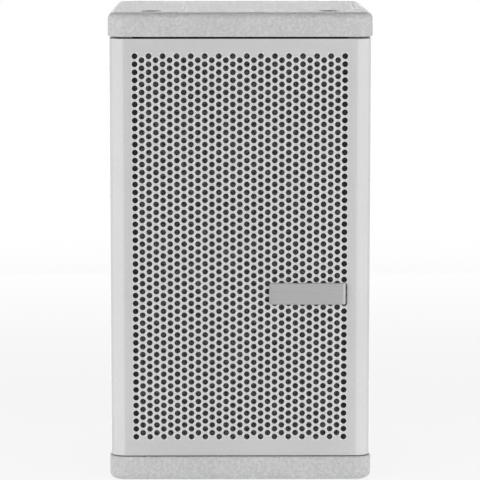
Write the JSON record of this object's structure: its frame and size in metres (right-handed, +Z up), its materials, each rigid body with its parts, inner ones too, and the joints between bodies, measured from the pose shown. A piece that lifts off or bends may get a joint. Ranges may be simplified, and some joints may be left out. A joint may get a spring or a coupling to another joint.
{
  "type": "active speaker",
  "caption": "Compact active loudspeaker with a perforated steel grille folded between textured top and bottom boards.",
  "frame": {"origin": "middle of the underside of the bottom board", "axes": "+Z up, front with the grille towards -Y, amplifier panel towards +Y"},
  "size_m": [0.164, 0.1986, 0.293],
  "materials": {
    "cabinet_paint": "sprayed texture paint on board",
    "black_board": "matt black paint on board",
    "grille_paint": "smooth satin powder coat",
    "foam": "open-cell foam",
    "badge_metal": "brushed",
    "black_steel": "black satin",
    "rubber": "matt",
    "cone_pulp": "coated pulp",
    "spider_cloth": "resin-stiffened cloth",
    "former_card": "card",
    "coil_wire": "enamelled winding",
    "plated_steel": "zinc plated",
    "ferrite": "sintered",
    "dome_cloth": "coated silk",
    "black_plastic": "fine spark texture",
    "circuit_board": "solder mask",
    "capacitor_sleeve": "shrink sleeve",
    "sink_metal": "extruded",
    "transformer_tape": "wound core under tape",
    "pot_metal": "stamped",
    "bright_plating": "plated",
    "white_plastic": "moulded",
    "red_plastic": "moulded",
    "pin_brass": "plated"
  },
  "bodies": {
    "cabinet": {"amp_board": "circuit_board", "amp_gasket": "foam", "amp_panel": "black_steel", "amp_panel_screws": "black_steel", "badge": "badge_metal", "bottom_panel": "cabinet_paint", "bracket_inserts": "black_steel", "filter_capacitors": "capacitor_sleeve", "front_baffle": "black_board", "grille": "grille_paint", "grille_foam": "foam", "grille_screws": "grille_paint", "heatsink": "sink_metal", "inlet_pins": "pin_brass", "left_port_tube": "black_plastic", "left_side_panel": "cabinet_paint", "mains_inlet": "black_plastic", "phono_housing": "black_plastic", "phono_inserts_red": "red_plastic", "phono_inserts_white": "white_plastic", "phono_shells": "bright_plating", "potentiometers": "pot_metal", "power_transformer": "transformer_tape", "rear_panel": "black_board", "rigging_inserts": "black_steel", "right_port_tube": "black_plastic", "right_side_panel": "cabinet_paint", "switch_housing": "black_plastic", "top_panel": "cabinet_paint", "transformer_bolt": "plated_steel", "transformer_clamp": "plated_steel", "transformer_nut": "plated_steel", "tweeter_dome": "dome_cloth", "tweeter_faceplate": "black_plastic", "tweeter_magnet": "ferrite", "tweeter_screws": "black_steel", "tweeter_top_plate": "plated_steel", "tweeter_voice_coil": "coil_wire", "tweeter_yoke": "plated_steel", "woofer_frame": "black_steel", "woofer_gasket": "rubber", "woofer_magnet": "ferrite", "woofer_screws": "black_steel", "woofer_spider": "spider_cloth", "woofer_surround": "rubber", "woofer_top_plate": "plated_steel", "woofer_yoke": "plated_steel"},
    "cone_assembly": {"woofer_cone": "cone_pulp", "woofer_dust_cap": "cone_pulp", "woofer_coil_former": "former_card", "woofer_voice_coil": "coil_wire"},
    "volume_dial": {"volume_knob": "black_plastic", "volume_shaft": "plated_steel"},
    "treble_dial": {"treble_knob": "black_plastic", "treble_shaft": "plated_steel"},
    "bass_dial": {"bass_knob": "black_plastic", "bass_shaft": "plated_steel"},
    "rocker": {"power_rocker": "black_plastic"}
  },
  "joints": [
    {"name": "woofer_stroke", "type": "slide", "parent": "cabinet", "child": "cone_assembly", "axis": [0, -1, 0], "range_m": [-0.003, 0.003], "stiffness_N_per_m": 1000, "deforming": ["woofer_surround", "woofer_spider"]},
    {"name": "volume_turn", "type": "hinge", "parent": "cabinet", "child": "volume_dial", "pos_m": [-0.032, 0.09, 0.176], "axis": [0, 1, 0], "range_deg": [-150, 150]},
    {"name": "treble_turn", "type": "hinge", "parent": "cabinet", "child": "treble_dial", "pos_m": [0, 0.09, 0.176], "axis": [0, 1, 0], "range_deg": [-150, 150]},
    {"name": "bass_turn", "type": "hinge", "parent": "cabinet", "child": "bass_dial", "pos_m": [0.032, 0.09, 0.176], "axis": [0, 1, 0], "range_deg": [-150, 150]},
    {"name": "power_rock", "type": "hinge", "parent": "cabinet", "child": "rocker", "pos_m": [0.033, 0.0865, 0.046], "axis": [1, 0, 0], "range_deg": [-16, 0]}
  ]
}
